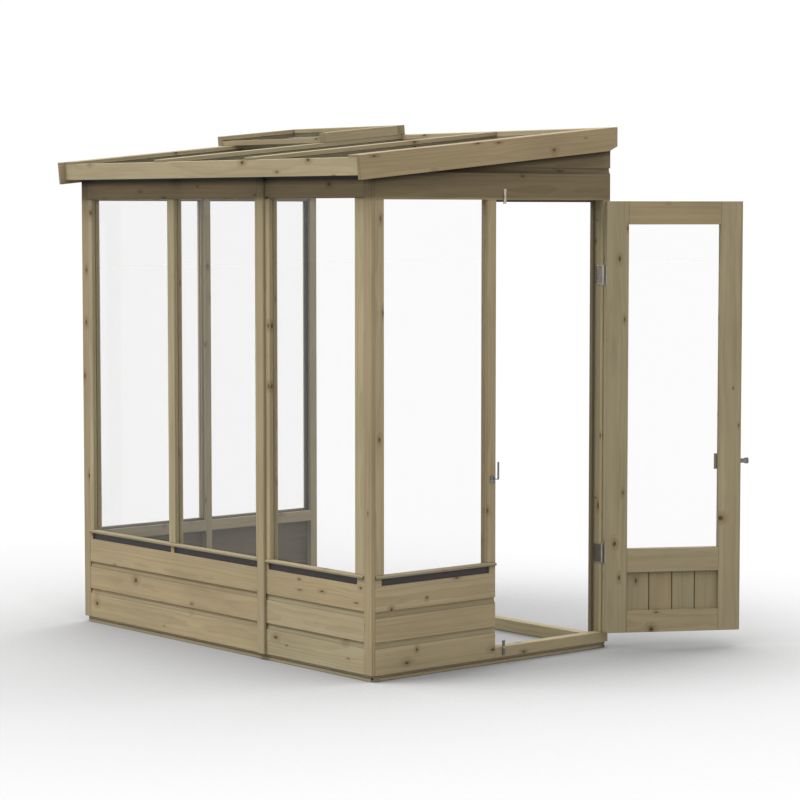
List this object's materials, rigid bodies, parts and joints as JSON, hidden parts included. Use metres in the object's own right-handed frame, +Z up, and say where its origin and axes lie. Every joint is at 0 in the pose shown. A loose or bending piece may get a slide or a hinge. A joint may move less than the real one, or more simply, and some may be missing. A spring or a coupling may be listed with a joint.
{
  "type": "lean-to greenhouse",
  "caption": "Timber lean-to greenhouse with a pitched glazed roof, tall fixed panes over shiplap boards, a half-glazed end door and a hinged roof vent; its back is open to the house wall.",
  "frame": {"origin": "on the ground, in the plane of the house wall, midway along the greenhouse", "axes": "+X along the house wall towards the door end, +Y into the house wall, +Z up"},
  "size_m": [2.3012, 1.7954, 2.1062],
  "materials": {
    "timber": "pressure-treated, rough planed",
    "glazing": "clear",
    "drip_strip": "matt",
    "zinc": "zinc plated"
  },
  "bodies": {
    "frame": {"back_bottom_beam": "timber", "back_top_rail": "timber", "barge_board_left": "timber", "barge_board_right": "timber", "barge_packers": "timber", "base_bearers": "timber", "corner_strips": "timber", "door_hinge_frame_leaves": "zinc", "door_stops": "timber", "door_threshold": "timber", "drip_strips": "drip_strip", "fascia": "timber", "front_joint_strip": "timber", "front_narrow_panel_casings": "timber", "front_narrow_panel_cladding": "timber", "front_narrow_panel_framing": "timber", "front_pane_left": "glazing", "front_pane_middle": "glazing", "front_pane_right": "glazing", "front_wide_panel_casings": "timber", "front_wide_panel_cladding": "timber", "front_wide_panel_framing": "timber", "glazing_beads": "timber", "latch_keep": "zinc", "left_gable_boards": "timber", "left_wall_casings": "timber", "left_wall_cladding": "timber", "left_wall_framing": "timber", "left_wall_panes": "glazing", "rafters": "timber", "right_gable_boards": "timber", "right_wall_casings": "timber", "right_wall_cladding": "timber", "right_wall_framing": "timber", "right_wall_pane": "glazing", "roof_bars": "timber", "roof_pane_left": "glazing", "roof_pane_middle": "glazing", "roof_pane_right": "glazing", "turn_button_screws": "zinc", "vent_curb": "timber", "vent_hinge_fixed_leaves": "zinc", "vent_stay_peg": "zinc", "window_seals": "drip_strip", "window_sills": "timber"},
    "door": {"door_stiles": "timber", "door_rails": "timber", "door_boards": "timber", "door_pane": "glazing", "door_glazing_beads": "timber", "door_hinge_door_leaves": "zinc", "latch_plate": "zinc"},
    "latch_bar": {"latch_bar": "zinc"},
    "head_button": {"head_turn_button": "zinc"},
    "threshold_button": {"threshold_turn_button": "zinc"},
    "roof_vent": {"vent_sash": "timber", "vent_pane": "glazing", "vent_hinge_moving_leaves": "zinc", "vent_stay_bracket": "zinc"},
    "vent_stay": {"vent_stay_arm": "zinc"}
  },
  "joints": [
    {"name": "door_hinge", "type": "hinge", "parent": "frame", "child": "door", "pos_m": [0.9595, -0.039, 0.934], "axis": [0, 0, 1], "range_deg": [-149.5, 25]},
    {"name": "latch_lift", "type": "hinge", "parent": "door", "child": "latch_bar", "pos_m": [1.19794, 0.36835, 0.742], "axis": [0.8616, -0.5075, 0], "range_deg": [0, 30]},
    {"name": "head_button_turn", "type": "hinge", "parent": "frame", "child": "head_button", "pos_m": [0.95675, -0.565, 1.793], "axis": [1, 0, 0], "range_deg": [-90, 90]},
    {"name": "threshold_button_turn", "type": "hinge", "parent": "frame", "child": "threshold_button", "pos_m": [0.95675, -0.565, 0.061], "axis": [1, 0, 0], "range_deg": [-90, 90]},
    {"name": "vent_hinge", "type": "hinge", "parent": "frame", "child": "roof_vent", "pos_m": [-0.65, -0.02367, 2.06815], "axis": [-1, 0, 0], "range_deg": [0, 30]},
    {"name": "stay_pivot", "type": "hinge", "parent": "roof_vent", "child": "vent_stay", "pos_m": [-0.3385, -0.35346, 2.04229], "axis": [-1, 0, 0], "range_deg": [0, 70]}
  ]
}
